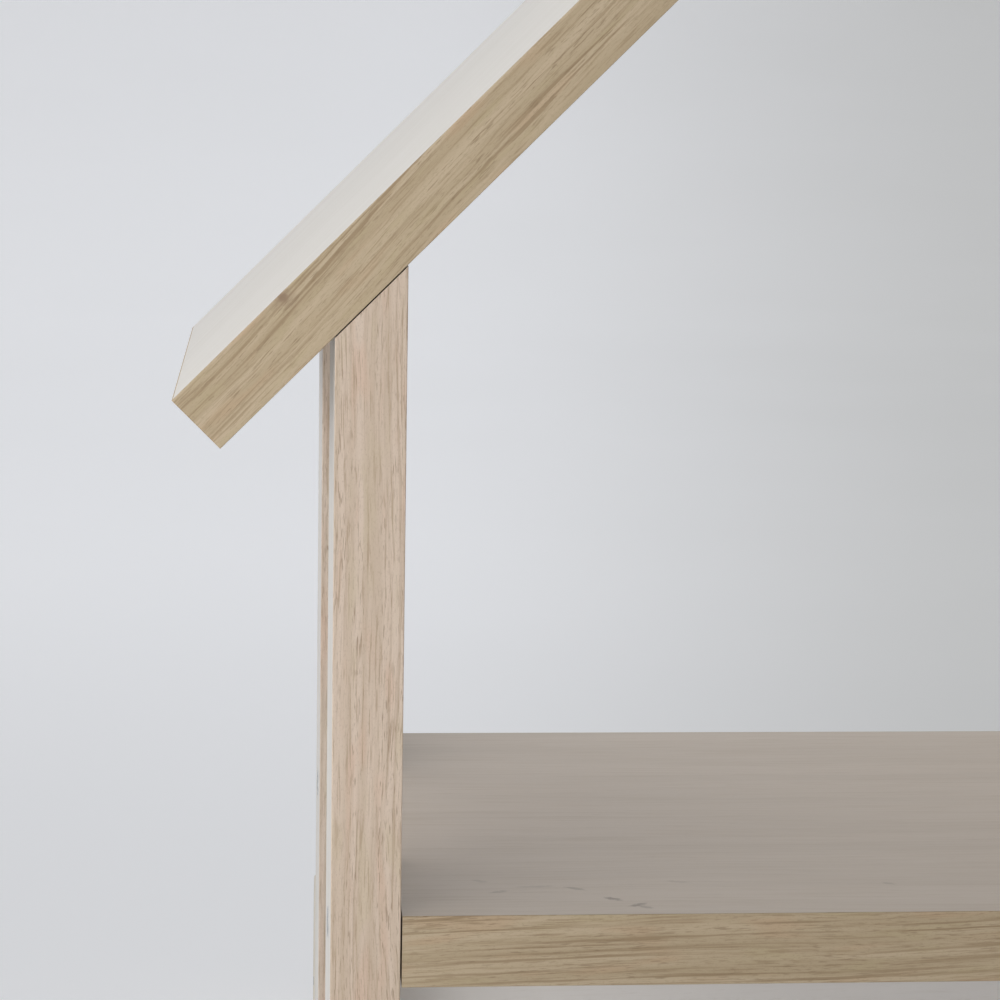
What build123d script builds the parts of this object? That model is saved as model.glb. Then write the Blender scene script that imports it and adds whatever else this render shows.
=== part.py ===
from build123d import *

import os
from math import cos, radians, sin, tan

# House-shaped indoor toddler slide, in millimetres.
# +X is to the right, +Y runs from the entry steps to the chute, +Z is up.
# The origin is on the floor, in the middle of the overall box.

os.makedirs("parts", exist_ok=True)

# ---- Driving dimensions: tower ----
INNER_WIDTH = 550.0      # between the inner faces of the posts
TOWER_DEPTH = 400.0      # front plane to rear plane
DECK_TOP = 540.0
EAVE_RISE = 334.0        # deck top to roof underside, at the posts' inner faces
ROOF_ANGLE = 45.0
ROOF_OVERHANG = 80.0     # along the slope, past the posts' outer faces
POST_BOARD = 36.0
POST_DEPTH = 108.0
ROOF_BOARD = 34.0
DECK_BOARD = 38.0
RAIL_BOARD = 24.0
BASE_RAIL_HEIGHT = 70.0
BASE_RAIL_LIFT = 15.0    # above the foot of the posts
APRON_HEIGHT = 160.0
RIDGE_BATTEN = 30.0      # side of the batten in the ridge
RIDGE_BATTEN_INSET = 20.0
GUARD_BAR = 22.0         # diameter
GUARD_BAR_PITCH = 110.0  # deck to first bar, and bar to bar
GUARD_SOCKET = 15.0
EDGE_BAND = 1.0          # oak band glued on the boards' edges
EDGE_EASE = 0.6          # rounding of the bands' long edges
QUARTERS = (0.25, 0.75)  # a pair of fasteners across a board
RAIL_BOLT_SHARE = 0.65   # of the base rail's height
RAIL_DOWEL_SHARE = 0.25
APRON_BOLT_SHARES = (0.35, 0.75)
APRON_DOWEL_SHARE = 0.55
RIDGE_SCREW_SHARES = {"left": (0.15, 0.5, 0.85), "right": (0.25, 0.6, 0.75)}

# ---- Driving dimensions: entry steps ----
RISES = 3                # floor to deck in equal rises
STEP_BOARD = 24.0
TREAD_DEPTH = 165.0
TREAD_OVERLAP = 15.0
TREAD_TO_TOWER = 7.0
STEP_NOSE = 13.0         # step sides reach this far past the lower tread
STEP_SIDE_DROP = 90.0    # deck top to top of the step sides
STEP_SIDE_LEVEL = 100.0  # level stretch of the step sides, in front of the tower
STEP_FRONT_HEIGHT = 260.0
STEP_TOP_ROUND = 60.0
STEP_FRONT_ROUND = 45.0
STEP_TOE_ROUND = 20.0
CROSS_RAIL_HEIGHT = 90.0
CROSS_RAIL_LIFT = 60.0
CROSS_RAIL_BACK = 8.0    # behind the cross rail to the end of the step sides
TREAD_SCREW_SHARES = (0.2, 0.8)
STEP_BOLT_LOW = 130.0
STEP_BOLT_INSET = 40.0   # top of the step sides to the upper bolts

# ---- Driving dimensions: chute ----
CHUTE_SLOPE = 31.0
CHUTE_DROP = 10.0        # deck top to the start of the bed
CHUTE_LIP_PAST_CLEAT = 2.0  # level lip of the bed, behind the hanger under it
CHUTE_TOP_RADIUS = 80.0
CHUTE_EXIT_RADIUS = 280.0
CHUTE_EXIT_HEIGHT = 70.0
CHUTE_RUNOUT = 130.0
BED_BOARD = 12.0
BED_GROOVE = 5.0
CHUTE_SIDE_BOARD = 18.0
CHUTE_SIDE_ABOVE = 85.0
CHUTE_SIDE_EASE = 3.0
CHUTE_END_ROUND = 40.0
CHUTE_CORNER_ROUND = 12.0
CHUTE_BATTEN_WIDTH = 60.0
CHUTE_BATTEN_BOARD = 20.0
CHUTE_BATTEN_PLACES = (0.2, 0.5, 0.8)
BATTEN_SCREW_SHARE = 0.25
HANGER_SCREW_DROPS = (12.0, 34.0)  # under the bed
FOOT_SCREW_DROP = 15.0
FOOT_RAIL_INSET = 40.0
FOOT_RAIL_LIFT = 10.0
CLEAT_BOARD = 18.0
CLEAT_HEIGHT = 40.0
CLEAT_LENGTH = 480.0
CLEAT_LINE_DROP = 85.0   # deck top to the foot of the cleats' bevel
CLEAT_SCREW_SHARES = (-0.4, -0.15, 0.15, 0.4)
PAD_HEIGHT = 6.0
PAD_WIDTH = 11.0
PAD_LENGTH = 90.0
PAD_INSET = 20.0

# ---- Fasteners and feet ----
GLIDE_HEIGHT = 5.0
GLIDE_RADIUS = 11.0
GLIDE_STUD_RADIUS = 2.5
GLIDE_STUD_LENGTH = 14.0
GLIDE_INSET = 25.0
GLIDE_CHAMFER = 1.5
DOWEL_RADIUS = 4.0
DOWEL_LENGTH = 30.0
BOLT_HEAD_RADIUS = 8.5
BOLT_HEAD_HEIGHT = 3.0
BOLT_RADIUS = 3.0
BOLT_SOCKET_RADIUS = 2.9
BARREL_RADIUS = 5.0
BARREL_LENGTH = 16.0
BARREL_INSET = 28.0
SLEEVE_RADIUS = 4.4
SLEEVE_LENGTH = 22.0
SLEEVE_FLANGE = 2.0
CAM_RADIUS = 7.4
CAM_HEIGHT = 13.0
CAM_INSET = 24.0
CAM_AXIS = 8.0           # drilled face to the bolt's axis
CAM_BOLT_RADIUS = 3.0
CAM_BOLT_HEAD_RADIUS = 3.7
CAM_BOLT_HEAD_LENGTH = 3.0
CAM_BOLT_THREAD = 12.0
SCREW_RADIUS = 2.4
SCREW_HEAD_RADIUS = 4.8
SCREW_HEAD_HEIGHT = 3.0
SCREW_BITE = 22.0        # thread in the second board
CLEAT_SCREW_BITE = 18.0
CONFIRMAT_RADIUS = 3.2
CONFIRMAT_HEAD_RADIUS = 5.0
CONFIRMAT_HEAD_HEIGHT = 4.0
CONFIRMAT_BITE = 26.0
POCKET_DEPTH = 12.0      # inner face to screw head, along the slanted pocket
RECESS_DEPTH = 1.8
CROSS_RECESS = (5.0, 1.2)

# ---- Named clearances ----
ROOF_GAP = 0.6           # post top to roof underside, square to the slope
DECK_GAP = 0.8           # each end of the deck and apron to a post
BORE_FIT = 0.15          # radial and end clearance of fasteners
CHUTE_CLEARANCE = 1.0    # chute to the tower's rear plane
CLEAT_CLEARANCE = 0.5
GROOVE_FIT = 0.2

# ---- Derived places ----
slope = radians(ROOF_ANGLE)
half_turn = tan(radians(CHUTE_SLOPE / 2))
post_inner = INNER_WIDTH / 2
post_outer = post_inner + POST_BOARD
post_middle = post_inner + POST_BOARD / 2
deck_bottom = DECK_TOP - DECK_BOARD
deck_middle = DECK_TOP - DECK_BOARD / 2
deck_half = post_inner - DECK_GAP
step_rise = DECK_TOP / RISES
step_half = post_inner - STEP_BOARD

step_reach = TREAD_TO_TOWER + (RISES - 1) * TREAD_DEPTH - (RISES - 2) * TREAD_OVERLAP + STEP_NOSE
bed_top = DECK_TOP - CHUTE_DROP
lip_run = CLEAT_BOARD + CHUTE_LIP_PAST_CLEAT + CHUTE_TOP_RADIUS * half_turn
slope_run = (bed_top - CHUTE_EXIT_HEIGHT) / tan(radians(CHUTE_SLOPE))
exit_run = CHUTE_EXIT_RADIUS * half_turn + CHUTE_RUNOUT
chute_run = CHUTE_CLEARANCE + lip_run + slope_run + exit_run

y_front = step_reach - (step_reach + TOWER_DEPTH + chute_run) / 2
y_rear = y_front + TOWER_DEPTH
chute_start = y_rear + CHUTE_CLEARANCE
lip_corner = chute_start + lip_run
exit_corner = lip_corner + slope_run
chute_end = exit_corner + exit_run

post_rows = {"front": y_front, "rear": y_rear - POST_DEPTH}
sides = {"left": -1, "right": 1}
eave_top = DECK_TOP + EAVE_RISE
ridge_under = eave_top + post_inner * tan(slope)
roof_length = post_outer / cos(slope) + ROOF_OVERHANG


def front_plane(y):
    """Upright plane at y, drawn in X and Z; a negative extrusion goes towards +Y."""
    return Plane.XZ.offset(-y)


def slope_point(side, along, up):
    """Point in X and Z: down the roof's underside from the ridge, and up square to it."""
    x = side * (along * cos(slope) + up * sin(slope))
    return (x, ridge_under - along * sin(slope) + up * cos(slope))


def pin(stages, grow=0.0):
    """Round stepped pin going down from its plane; stages are (radius, depth reached)."""
    with BuildPart() as body:
        start = 0.0
        for radius, reach in stages:
            with BuildSketch(Plane.XY.offset(-start)):
                Circle(radius + grow)
            extrude(amount=-(reach - start + grow))
            start = reach
    return body.part


def bore(planes, cutter):
    """Cut the same hole at each plane from the piece being made."""
    with Locations(*planes):
        add(cutter, mode=Mode.SUBTRACT)


# Driver recesses, cut into the heads of screws and bolts
with BuildPart() as cross_recess:
    with BuildSketch(Plane.XY):
        Rectangle(*CROSS_RECESS)
        Rectangle(*reversed(CROSS_RECESS))
    extrude(amount=-RECESS_DEPTH)

with BuildPart() as hex_recess:
    with BuildSketch(Plane.XY):
        RegularPolygon(BOLT_SOCKET_RADIUS, 6)
    extrude(amount=-RECESS_DEPTH)


# ---- Where the fasteners go ----
def side_plane(side, x, y, z):
    """Plane on a face at x on one side, facing away from the middle."""
    return Plane(origin=(side * x, y, z), z_dir=(side, 0, 0))


def post_quarters(row):
    """Two places along Y, a quarter in from each edge of a post."""
    return [post_rows[row] + POST_DEPTH * share for share in QUARTERS]


def post_centre(row):
    return post_rows[row] + POST_DEPTH / 2


def mitre_plane(side, y):
    """Plane on a roof underside above the middle of a post, facing up square to the slope."""
    x, z = slope_point(side, post_middle / cos(slope), 0)
    return Plane(origin=(x, y, z), z_dir=(side * sin(slope), 0, cos(slope)))


pocket_reach = POST_BOARD / 2 / sin(slope)
roof_dowels = {(s, r): [mitre_plane(sides[s], y) for y in post_quarters(r)]
               for s in sides for r in post_rows}


def pocket_plane(side, y):
    """Plane where a slanted screw pocket meets the middle line of a post's inner face."""
    top = mitre_plane(side, y)
    return Plane(origin=top.origin - top.z_dir * pocket_reach, z_dir=-top.z_dir)


roof_pockets = {(s, r): [pocket_plane(sides[s], post_centre(r))] for s in sides for r in post_rows}
deck_dowels = {(s, r): [side_plane(sides[s], post_inner, y, deck_middle) for y in post_quarters(r)]
               for s in sides for r in post_rows}
deck_bolts = {(s, r): [side_plane(sides[s], post_outer, post_centre(r), deck_middle)]
              for s in sides for r in post_rows}
step_bolt_heights = (STEP_BOLT_LOW, DECK_TOP - STEP_SIDE_DROP - STEP_BOLT_INSET)
step_bolts = {s: [side_plane(sides[s], post_outer, post_centre("front"), z) for z in step_bolt_heights]
              for s in sides}
step_sleeves = {s: [side_plane(-sides[s], -step_half, post_centre("front"), z)
                    for z in step_bolt_heights] for s in sides}

post_foot = GLIDE_HEIGHT
rail_bottom = post_foot + BASE_RAIL_LIFT
rail_inner = post_middle - RAIL_BOARD / 2
rail_ends = {"front": post_rows["front"] + POST_DEPTH, "rear": post_rows["rear"]}
rail_into = {"front": 1, "rear": -1}
rail_bolt_height = rail_bottom + BASE_RAIL_HEIGHT * RAIL_BOLT_SHARE
rail_dowel_height = rail_bottom + BASE_RAIL_HEIGHT * RAIL_DOWEL_SHARE
rail_bolts = {(s, r): [Plane(origin=(sides[s] * (rail_inner + CAM_AXIS), rail_ends[r], rail_bolt_height),
                             z_dir=(0, rail_into[r], 0))] for s in sides for r in post_rows}
rail_dowels = {(s, r): [Plane(origin=(sides[s] * post_middle, rail_ends[r], rail_dowel_height),
                              z_dir=(0, rail_into[r], 0))] for s in sides for r in post_rows}
guard_heights = {"lower": DECK_TOP + GUARD_BAR_PITCH, "upper": DECK_TOP + 2 * GUARD_BAR_PITCH}
guard_sockets = {(s, r): [Plane(origin=(sides[s] * post_middle, rail_ends[r], z),
                                z_dir=(0, rail_into[r], 0)) for z in guard_heights.values()]
                 for s in sides for r in post_rows}

apron_front = y_rear - RAIL_BOARD
apron_bottom = deck_bottom - APRON_HEIGHT
apron_bolt_heights = [apron_bottom + APRON_HEIGHT * share for share in APRON_BOLT_SHARES]
apron_bolts = {s: [side_plane(-sides[s], -post_inner, apron_front + CAM_AXIS, z)
                   for z in apron_bolt_heights] for s in sides}
apron_dowels = {s: [side_plane(sides[s], post_inner, y_rear - RAIL_BOARD / 2,
                               apron_bottom + APRON_HEIGHT * APRON_DOWEL_SHARE)] for s in sides}


def glide_plane(x, y):
    """Plane under a foot, facing down."""
    return Plane(origin=(x, y, post_foot), z_dir=(0, 0, -1))


post_glides = {(s, r): [glide_plane(sides[s] * post_middle, post_rows[r] + d)
                        for d in (GLIDE_INSET, POST_DEPTH - GLIDE_INSET)]
               for s in sides for r in post_rows}
step_glides = {s: [glide_plane(sides[s] * (post_inner - STEP_BOARD / 2), y)
                   for y in (y_front - step_reach + 2 * GLIDE_INSET, y_front + POST_DEPTH - GLIDE_INSET)]
               for s in sides}

# ---- Fastener shapes, and the holes they need ----
bolt_reach = POST_BOARD + DECK_GAP + BARREL_INSET + 2 * BARREL_RADIUS
bolt_stages = [(BOLT_HEAD_RADIUS, BOLT_HEAD_HEIGHT), (BOLT_RADIUS, bolt_reach)]
step_bolt_reach = POST_BOARD + STEP_BOARD / 2
step_bolt_stages = [(BOLT_HEAD_RADIUS, BOLT_HEAD_HEIGHT), (BOLT_RADIUS, step_bolt_reach)]
sleeve_stages = [(BOLT_HEAD_RADIUS, SLEEVE_FLANGE), (SLEEVE_RADIUS, SLEEVE_LENGTH)]
screw_reach = RIDGE_BATTEN * sin(2 * slope) + SCREW_BITE
screw_stages = [(SCREW_HEAD_RADIUS, SCREW_HEAD_HEIGHT), (SCREW_RADIUS, screw_reach)]
pocket_screw_reach = pocket_reach + SCREW_BITE
confirmat_stages = [(CONFIRMAT_HEAD_RADIUS, CONFIRMAT_HEAD_HEIGHT),
                    (CONFIRMAT_RADIUS, STEP_BOARD + CONFIRMAT_BITE)]
chute_screw_stages = [(CONFIRMAT_HEAD_RADIUS, CONFIRMAT_HEAD_HEIGHT),
                      (CONFIRMAT_RADIUS, CHUTE_SIDE_BOARD + CONFIRMAT_BITE)]
cleat_screw_stages = [(SCREW_HEAD_RADIUS, SCREW_HEAD_HEIGHT),
                      (SCREW_RADIUS, CLEAT_BOARD + CLEAT_SCREW_BITE)]

bolt_hole = pin(bolt_stages, BORE_FIT)
step_bolt_hole = pin(step_bolt_stages, BORE_FIT)
sleeve_hole = pin(sleeve_stages, BORE_FIT)
screw_hole = pin(screw_stages, BORE_FIT)
confirmat_hole = pin(confirmat_stages, BORE_FIT)
chute_screw_hole = pin(chute_screw_stages, BORE_FIT)
cleat_screw_hole = pin(cleat_screw_stages, BORE_FIT)
glide_hole = pin([(GLIDE_STUD_RADIUS, GLIDE_STUD_LENGTH)], BORE_FIT)

with BuildPart() as dowel_hole:
    Cylinder(DOWEL_RADIUS + BORE_FIT, DOWEL_LENGTH + 2 * BORE_FIT)

with BuildPart() as guard_socket:
    with BuildSketch(Plane.XY):
        Circle(GUARD_BAR / 2 + BORE_FIT)
    extrude(amount=-GUARD_SOCKET)

with BuildPart() as pocket_hole:
    with BuildSketch(Plane.XY.offset(pocket_reach)):
        Circle(SCREW_HEAD_RADIUS + BORE_FIT)
    extrude(amount=-(pocket_reach + POCKET_DEPTH))
    with BuildSketch(Plane.XY.offset(-POCKET_DEPTH)):
        Circle(SCREW_RADIUS + BORE_FIT)
    extrude(amount=-(pocket_screw_reach - POCKET_DEPTH + BORE_FIT))

with BuildPart() as cam_bolt:
    with BuildSketch(Plane.XY.offset(-CAM_BOLT_THREAD)):
        Circle(CAM_BOLT_RADIUS)
    extrude(amount=CAM_BOLT_THREAD + CAM_INSET)
    with BuildSketch(Plane.XY.offset(CAM_INSET - CAM_BOLT_HEAD_LENGTH)):
        Circle(CAM_BOLT_HEAD_RADIUS)
    extrude(amount=CAM_BOLT_HEAD_LENGTH)

with BuildPart() as cam_bolt_hole:
    with BuildSketch(Plane.XY.offset(-CAM_BOLT_THREAD - BORE_FIT)):
        Circle(CAM_BOLT_RADIUS + BORE_FIT)
    extrude(amount=CAM_BOLT_THREAD + CAM_INSET - CAM_BOLT_HEAD_LENGTH)
    with BuildSketch(Plane.XY.offset(CAM_INSET - CAM_BOLT_HEAD_LENGTH - BORE_FIT)):
        Circle(CAM_BOLT_HEAD_RADIUS + BORE_FIT)
    extrude(amount=CAM_BOLT_HEAD_LENGTH + 2 * BORE_FIT)


# ---- Posts, with the oak band on their front and rear edges ----
def post_outline(side):
    """Post outline in X and Z, with its top mitred to the roof."""
    top = eave_top - ROOF_GAP / cos(slope)
    outer_top = top - POST_BOARD * tan(slope)
    return [(side * post_inner, post_foot), (side * post_inner, top),
            (side * post_outer, outer_top), (side * post_outer, post_foot)]


def post_bores(side, row):
    """All the holes of one post."""
    key = (side, row)
    bore(roof_dowels[key], dowel_hole.part)
    bore(roof_pockets[key], pocket_hole.part)
    bore(deck_dowels[key] + rail_dowels[key], dowel_hole.part)
    bore(deck_bolts[key], bolt_hole)
    bore(rail_bolts[key], cam_bolt_hole.part)
    bore(guard_sockets[key], guard_socket.part)
    bore(post_glides[key], glide_hole)
    if row == "front":
        bore(step_bolts[side], step_bolt_hole)
    else:
        bore(apron_bolts[side], cam_bolt_hole.part)
        bore(apron_dowels[side], dowel_hole.part)


for row, y_post in post_rows.items():
    for side, sign in sides.items():
        with BuildPart() as post:
            with BuildSketch(front_plane(y_post + EDGE_BAND)):
                Polygon(*post_outline(sign), align=None)
            extrude(amount=-(POST_DEPTH - 2 * EDGE_BAND))
            post_bores(side, row)
        post.part.label = f"post_{row}_{side}"
        export_step(post.part, f"parts/post_{row}_{side}.step")

        with BuildPart() as post_band:
            with BuildSketch(front_plane(y_post), front_plane(y_post + POST_DEPTH - EDGE_BAND)):
                Polygon(*post_outline(sign), align=None)
            extrude(amount=-EDGE_BAND)
            long_edges = post_band.edges().filter_by(Axis.Z).group_by(Axis.Y)
            fillet(long_edges[0] + long_edges[-1], EDGE_EASE)
            post_bores(side, row)
        post_band.part.label = f"post_{row}_{side}_edge_band"
        export_step(post_band.part, f"parts/post_{row}_{side}_edge_band.step")


# ---- Roof boards, mitred at the ridge ----
def roof_outline(side, length):
    """Roof board outline in X and Z, from the ridge down to a square end."""
    return [slope_point(side, 0, 0), slope_point(side, length, 0), slope_point(side, length, ROOF_BOARD),
            slope_point(side, -ROOF_BOARD * tan(slope), ROOF_BOARD)]


def ridge_screw_plane(side, y):
    """Plane under the ridge batten, facing away from one roof board."""
    x, z = slope_point(side, RIDGE_BATTEN / 2, -RIDGE_BATTEN * sin(2 * slope))
    return Plane(origin=(x, y, z), z_dir=(-side * sin(slope), 0, -cos(slope)))


ridge_screws_at = {s: [ridge_screw_plane(sides[s], y_front + TOWER_DEPTH * share)
                       for share in RIDGE_SCREW_SHARES[s]] for s in sides}

for side, sign in sides.items():
    with BuildPart() as roof_board:
        with BuildSketch(front_plane(y_front + EDGE_BAND)):
            Polygon(*roof_outline(sign, roof_length - EDGE_BAND), align=None)
        extrude(amount=-(TOWER_DEPTH - 2 * EDGE_BAND))
        for row in post_rows:
            bore(roof_dowels[side, row], dowel_hole.part)
            bore(roof_pockets[side, row], pocket_hole.part)
        bore(ridge_screws_at[side], screw_hole)
    roof_board.part.label = f"roof_board_{side}"
    export_step(roof_board.part, f"parts/roof_board_{side}.step")

    with BuildPart() as roof_band:
        with BuildSketch(front_plane(y_front), front_plane(y_rear - EDGE_BAND)):
            Polygon(*roof_outline(sign, roof_length), align=None)
        extrude(amount=-EDGE_BAND)
        face_edges = roof_band.edges().filter_by(Axis.Y, reverse=True).group_by(Axis.Y)
        outline_edges = face_edges[0] + face_edges[-1]
        fillet(outline_edges.filter_by(lambda e: e.length > 2 * ROOF_BOARD), EDGE_EASE)
        with BuildSketch(front_plane(y_front + EDGE_BAND)):
            Polygon(slope_point(sign, roof_length - EDGE_BAND, 0), slope_point(sign, roof_length, 0),
                    slope_point(sign, roof_length, ROOF_BOARD),
                    slope_point(sign, roof_length - EDGE_BAND, ROOF_BOARD), align=None)
        extrude(amount=-(TOWER_DEPTH - 2 * EDGE_BAND))
    roof_band.part.label = f"roof_board_{side}_edge_band"
    export_step(roof_band.part, f"parts/roof_board_{side}_edge_band.step")

with BuildPart() as ridge_batten:
    with BuildSketch(front_plane(y_front + RIDGE_BATTEN_INSET)):
        Polygon(slope_point(-1, 0, 0), slope_point(-1, RIDGE_BATTEN, 0),
                (0, ridge_under - 2 * RIDGE_BATTEN * sin(slope)), slope_point(1, RIDGE_BATTEN, 0),
                align=None)
    extrude(amount=-(TOWER_DEPTH - 2 * RIDGE_BATTEN_INSET))
    bore(ridge_screws_at["left"] + ridge_screws_at["right"], screw_hole)
ridge_batten.part.label = "ridge_batten"
export_step(ridge_batten.part, "parts/ridge_batten.step")

# ---- Deck ----
with BuildPart() as barrel_hole:
    Cylinder(BARREL_RADIUS + BORE_FIT, DECK_BOARD / 2 + BARREL_LENGTH / 2 + BORE_FIT,
             align=(Align.CENTER, Align.CENTER, Align.MIN))

barrels_at = [(sign * (deck_half - BARREL_INSET), post_centre(row))
              for sign in sides.values() for row in post_rows]

with BuildPart() as deck_board:
    with BuildSketch(Plane.XY.offset(deck_bottom)):
        with Locations((0, (y_front + y_rear) / 2)):
            Rectangle(2 * deck_half, TOWER_DEPTH - 2 * EDGE_BAND)
    extrude(amount=DECK_BOARD)
    for side in sides:
        for row in post_rows:
            bore(deck_dowels[side, row], dowel_hole.part)
            bore(deck_bolts[side, row], bolt_hole)
    bore([Plane(origin=(x, y, deck_bottom)) for x, y in barrels_at], barrel_hole.part)
deck_board.part.label = "deck_board"
export_step(deck_board.part, "parts/deck_board.step")

with BuildPart() as deck_band:
    for y_band in (y_front, y_rear - EDGE_BAND):
        with BuildSketch(Plane.XY.offset(deck_bottom)):
            with Locations((0, y_band + EDGE_BAND / 2)):
                Rectangle(2 * deck_half, EDGE_BAND)
        extrude(amount=DECK_BOARD)
    band_edges = deck_band.edges().filter_by(Axis.X).group_by(Axis.Y)
    fillet(band_edges[0] + band_edges[-1], EDGE_EASE)
deck_band.part.label = "deck_board_edge_band"
export_step(deck_band.part, "parts/deck_board_edge_band.step")

with BuildPart() as barrel_nuts:
    with Locations(*[(x, y, deck_middle) for x, y in barrels_at]):
        Cylinder(BARREL_RADIUS, BARREL_LENGTH)
    for side in sides:
        for row in post_rows:
            bore(deck_bolts[side, row], bolt_hole)
barrel_nuts.part.label = "deck_barrel_nuts"
export_step(barrel_nuts.part, "parts/deck_barrel_nuts.step")

# ---- Guard bars ----
for side, sign in sides.items():
    for level, height in guard_heights.items():
        with BuildPart() as guard_bar:
            with BuildSketch(front_plane(rail_ends["front"] - GUARD_SOCKET + BORE_FIT)):
                with Locations((sign * post_middle, height)):
                    Circle(GUARD_BAR / 2)
            extrude(amount=-(rail_ends["rear"] - rail_ends["front"] + 2 * (GUARD_SOCKET - BORE_FIT)))
        guard_bar.part.label = f"guard_bar_{side}_{level}"
        export_step(guard_bar.part, f"parts/guard_bar_{side}_{level}.step")


# ---- Cam fittings ----
def cam_plane(bolt_plane, face_dir):
    """Plane on the drilled face over a cam bolt's end, facing out of the board."""
    centre = bolt_plane.origin + bolt_plane.z_dir * CAM_INSET
    return Plane(origin=centre + Vector(*face_dir) * CAM_AXIS, z_dir=face_dir)


rail_cams = {s: [cam_plane(p, (-sides[s], 0, 0)) for r in post_rows for p in rail_bolts[s, r]]
             for s in sides}
apron_cams = [cam_plane(p, (0, -1, 0)) for s in sides for p in apron_bolts[s]]
cam_hole = pin([(CAM_RADIUS, CAM_HEIGHT)], BORE_FIT)

# ---- Base rails and rear apron ----
for side, sign in sides.items():
    with BuildPart() as base_rail:
        with BuildSketch(front_plane(rail_ends["front"])):
            with Locations((sign * post_middle, rail_bottom + BASE_RAIL_HEIGHT / 2)):
                Rectangle(RAIL_BOARD, BASE_RAIL_HEIGHT)
        extrude(amount=-(rail_ends["rear"] - rail_ends["front"]))
        fillet(base_rail.edges().filter_by(Axis.Y), EDGE_EASE)
        for row in post_rows:
            bore(rail_bolts[side, row], cam_bolt_hole.part)
            bore(rail_dowels[side, row], dowel_hole.part)
        bore(rail_cams[side], cam_hole)
    base_rail.part.label = f"base_rail_{side}"
    export_step(base_rail.part, f"parts/base_rail_{side}.step")

cleat_line = DECK_TOP - CLEAT_LINE_DROP
cleat_screw_xs = [CLEAT_LENGTH * share for share in CLEAT_SCREW_SHARES]
cleat_screws_at = [Plane(origin=(x, y_rear + CLEAT_BOARD, cleat_line - CLEAT_HEIGHT / 2), z_dir=(0, 1, 0))
                   for x in cleat_screw_xs]

with BuildPart() as rear_apron:
    with BuildSketch(front_plane(apron_front)):
        with Locations((0, apron_bottom + APRON_HEIGHT / 2)):
            Rectangle(2 * deck_half, APRON_HEIGHT)
    extrude(amount=-RAIL_BOARD)
    for side in sides:
        bore(apron_bolts[side], cam_bolt_hole.part)
        bore(apron_dowels[side], dowel_hole.part)
    bore(apron_cams, cam_hole)
    bore(cleat_screws_at, cleat_screw_hole)
rear_apron.part.label = "rear_apron"
export_step(rear_apron.part, "parts/rear_apron.step")

# The tower's half of the bevelled cleat that carries the chute
with BuildPart() as cleat_rail:
    with BuildSketch(Plane.YZ):
        Polygon((y_rear, cleat_line - CLEAT_HEIGHT), (y_rear + CLEAT_BOARD, cleat_line - CLEAT_HEIGHT),
                (y_rear + CLEAT_BOARD, cleat_line + CLEAT_BOARD), (y_rear, cleat_line), align=None)
    extrude(amount=CLEAT_LENGTH / 2, both=True)
    bore(cleat_screws_at, cleat_screw_hole)
cleat_rail.part.label = "cleat_rail"
export_step(cleat_rail.part, "parts/cleat_rail.step")

# ---- Fasteners of the tower, one group for each kind ----
with BuildPart() as dowel:
    Cylinder(DOWEL_RADIUS, DOWEL_LENGTH)
    chamfer(dowel.edges().filter_by(GeomType.CIRCLE), EDGE_EASE)

tower_dowels = sum([*roof_dowels.values(), *deck_dowels.values(), *rail_dowels.values(),
                    *apron_dowels.values()], [])
with BuildPart() as dowels:
    with Locations(*tower_dowels):
        add(dowel.part)
dowels.part.label = "wood_dowels"
export_step(dowels.part, "parts/wood_dowels.step")

with BuildPart() as deck_bolt:
    add(pin(bolt_stages))
    add(hex_recess.part, mode=Mode.SUBTRACT)

with BuildPart() as deck_bolt_group:
    with Locations(*sum(deck_bolts.values(), [])):
        add(deck_bolt.part)
deck_bolt_group.part.label = "deck_bolts"
export_step(deck_bolt_group.part, "parts/deck_bolts.step")

with BuildPart() as step_bolt:
    add(pin(step_bolt_stages))
    add(hex_recess.part, mode=Mode.SUBTRACT)

with BuildPart() as step_bolt_group:
    with Locations(*sum(step_bolts.values(), [])):
        add(step_bolt.part)
step_bolt_group.part.label = "step_bolts"
export_step(step_bolt_group.part, "parts/step_bolts.step")

with BuildPart() as sleeve_nut:
    add(pin(sleeve_stages))
    with BuildSketch(Plane.XY.offset(-RECESS_DEPTH)):
        Circle(BOLT_RADIUS + BORE_FIT)
    extrude(amount=-SLEEVE_LENGTH, mode=Mode.SUBTRACT)
    add(hex_recess.part, mode=Mode.SUBTRACT)

with BuildPart() as sleeve_nuts:
    with Locations(*sum(step_sleeves.values(), [])):
        add(sleeve_nut.part)
sleeve_nuts.part.label = "step_sleeve_nuts"
export_step(sleeve_nuts.part, "parts/step_sleeve_nuts.step")

tower_cam_bolts = sum([*rail_bolts.values(), *apron_bolts.values()], [])
with BuildPart() as cam_bolts:
    with Locations(*tower_cam_bolts):
        add(cam_bolt.part)
cam_bolts.part.label = "cam_bolts"
export_step(cam_bolts.part, "parts/cam_bolts.step")

with BuildPart() as cam:
    add(pin([(CAM_RADIUS, CAM_HEIGHT)]))
    add(cross_recess.part, mode=Mode.SUBTRACT)

with BuildPart() as cams:
    with Locations(*rail_cams["left"], *rail_cams["right"], *apron_cams):
        add(cam.part)
    bore(tower_cam_bolts, cam_bolt_hole.part)
cams.part.label = "cam_housings"
export_step(cams.part, "parts/cam_housings.step")

with BuildPart() as ridge_screw:
    add(pin(screw_stages))
    add(cross_recess.part, mode=Mode.SUBTRACT)

with BuildPart() as ridge_screws:
    with Locations(*ridge_screws_at["left"], *ridge_screws_at["right"]):
        add(ridge_screw.part)
ridge_screws.part.label = "ridge_screws"
export_step(ridge_screws.part, "parts/ridge_screws.step")

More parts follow.
